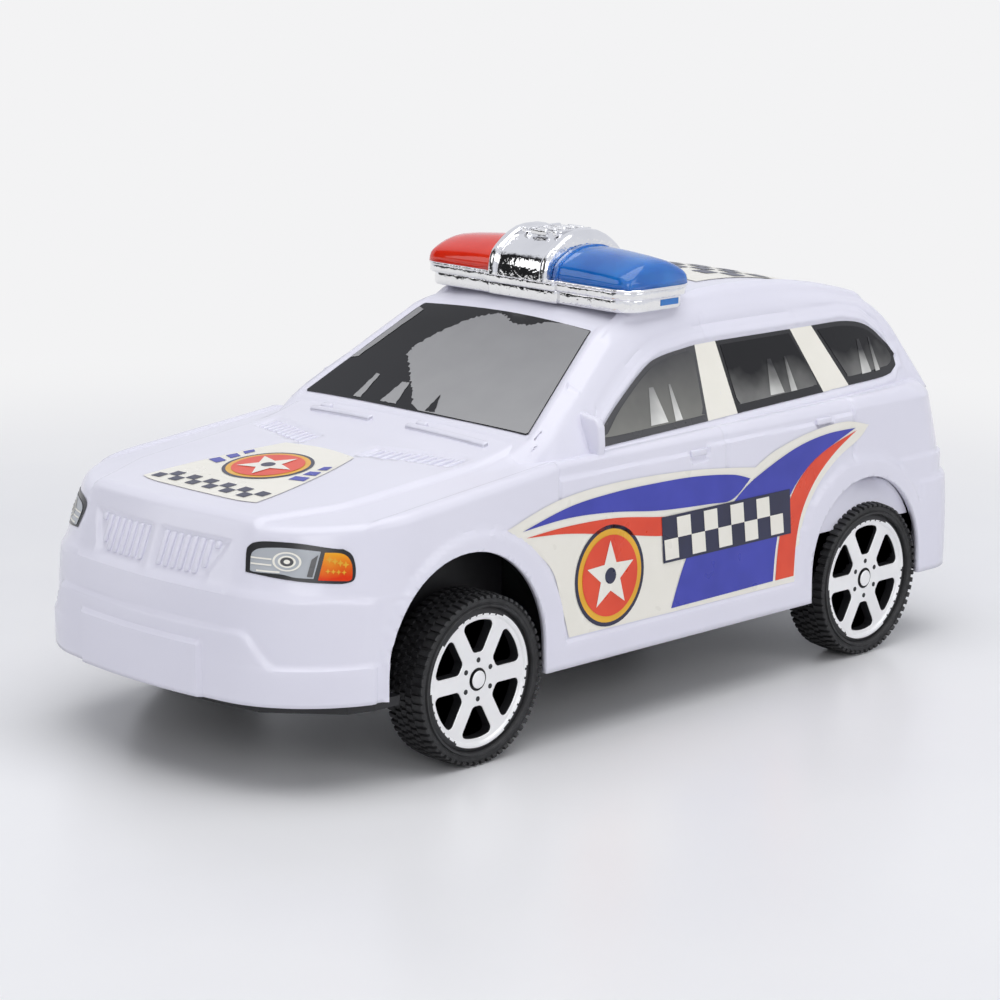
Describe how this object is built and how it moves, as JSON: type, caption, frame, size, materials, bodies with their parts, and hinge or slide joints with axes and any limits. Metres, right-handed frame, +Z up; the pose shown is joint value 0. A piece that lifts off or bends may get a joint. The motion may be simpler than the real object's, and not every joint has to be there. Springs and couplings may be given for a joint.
{
  "type": "toy patrol car",
  "caption": "Moulded toy off-road patrol car with a flywheel drive on the front axle, freely turning wheels, printed stickers and a two-colour roof light bar.",
  "frame": {"origin": "on the ground, below the middle of the car's box", "axes": "+X to the nose, +Y to the car's left, +Z up"},
  "size_m": [0.222, 0.093, 0.0995],
  "materials": {
    "shell_white": "glossy moulded, faint lilac tint",
    "black_plastic": "moulded black",
    "steel": "plain steel",
    "plated_plastic": "bright vacuum plating on plastic",
    "blue_lens": "clear blue",
    "red_lens": "clear red",
    "rim_silver": "black plastic with a silver stamped face",
    "tyre_black": "soft black",
    "gear_plastic": "natural nylon",
    "flywheel_iron": "turned",
    "printed_paper": "printed self-adhesive film",
    "dark_film": "black glossy film",
    "red_print": "printed self-adhesive film"
  },
  "bodies": {
    "car": {"body_shell": "shell_white", "chassis": "black_plastic", "chassis_screws": "steel", "drive_case_left": "black_plastic", "drive_case_right": "black_plastic", "drive_screws": "steel", "light_bar_base": "plated_plastic", "lens_left": "blue_lens", "lens_right": "red_lens", "windscreen_sticker": "dark_film", "window_sticker_left": "printed_paper", "window_sticker_right": "printed_paper", "side_sticker_left": "printed_paper", "side_sticker_right": "printed_paper", "bonnet_sticker": "printed_paper", "roof_sticker": "printed_paper", "rear_window_sticker": "dark_film", "headlamp_sticker_left": "printed_paper", "headlamp_sticker_right": "printed_paper", "tail_lamp_sticker_left": "red_print", "tail_lamp_sticker_right": "red_print"},
    "front_wheelset": {"front_axle": "steel", "axle_gear": "gear_plastic", "rim_front_left": "rim_silver", "rim_front_right": "rim_silver", "tyre_front_left": "tyre_black", "tyre_front_right": "tyre_black"},
    "idler": {"idler_gear": "gear_plastic", "idler_shaft": "steel"},
    "flywheel": {"flywheel": "flywheel_iron", "flywheel_pinion": "gear_plastic", "flywheel_shaft": "steel"},
    "rear_wheelset": {"rear_axle": "steel", "rim_rear_left": "rim_silver", "rim_rear_right": "rim_silver", "tyre_rear_left": "tyre_black", "tyre_rear_right": "tyre_black"}
  },
  "joints": [
    {"name": "front_axle_spin", "type": "hinge", "parent": "car", "child": "front_wheelset", "pos_m": [0.0575, 0, 0.018], "axis": [0, 1, 0], "continuous": true},
    {"name": "idler_spin", "type": "hinge", "parent": "car", "child": "idler", "pos_m": [0.0521, 0, 0.02735], "axis": [0, 1, 0], "continuous": true},
    {"name": "flywheel_spin", "type": "hinge", "parent": "car", "child": "flywheel", "pos_m": [0.04171, 0, 0.03335], "axis": [0, 1, 0], "continuous": true},
    {"name": "rear_axle_spin", "type": "hinge", "parent": "car", "child": "rear_wheelset", "pos_m": [-0.0715, 0, 0.018], "axis": [0, 1, 0], "continuous": true}
  ],
  "couplings": [
    {"joint": "idler_spin", "follows": "front_axle_spin", "ratio": -2.6},
    {"joint": "flywheel_spin", "follows": "front_axle_spin", "ratio": 7.8}
  ]
}
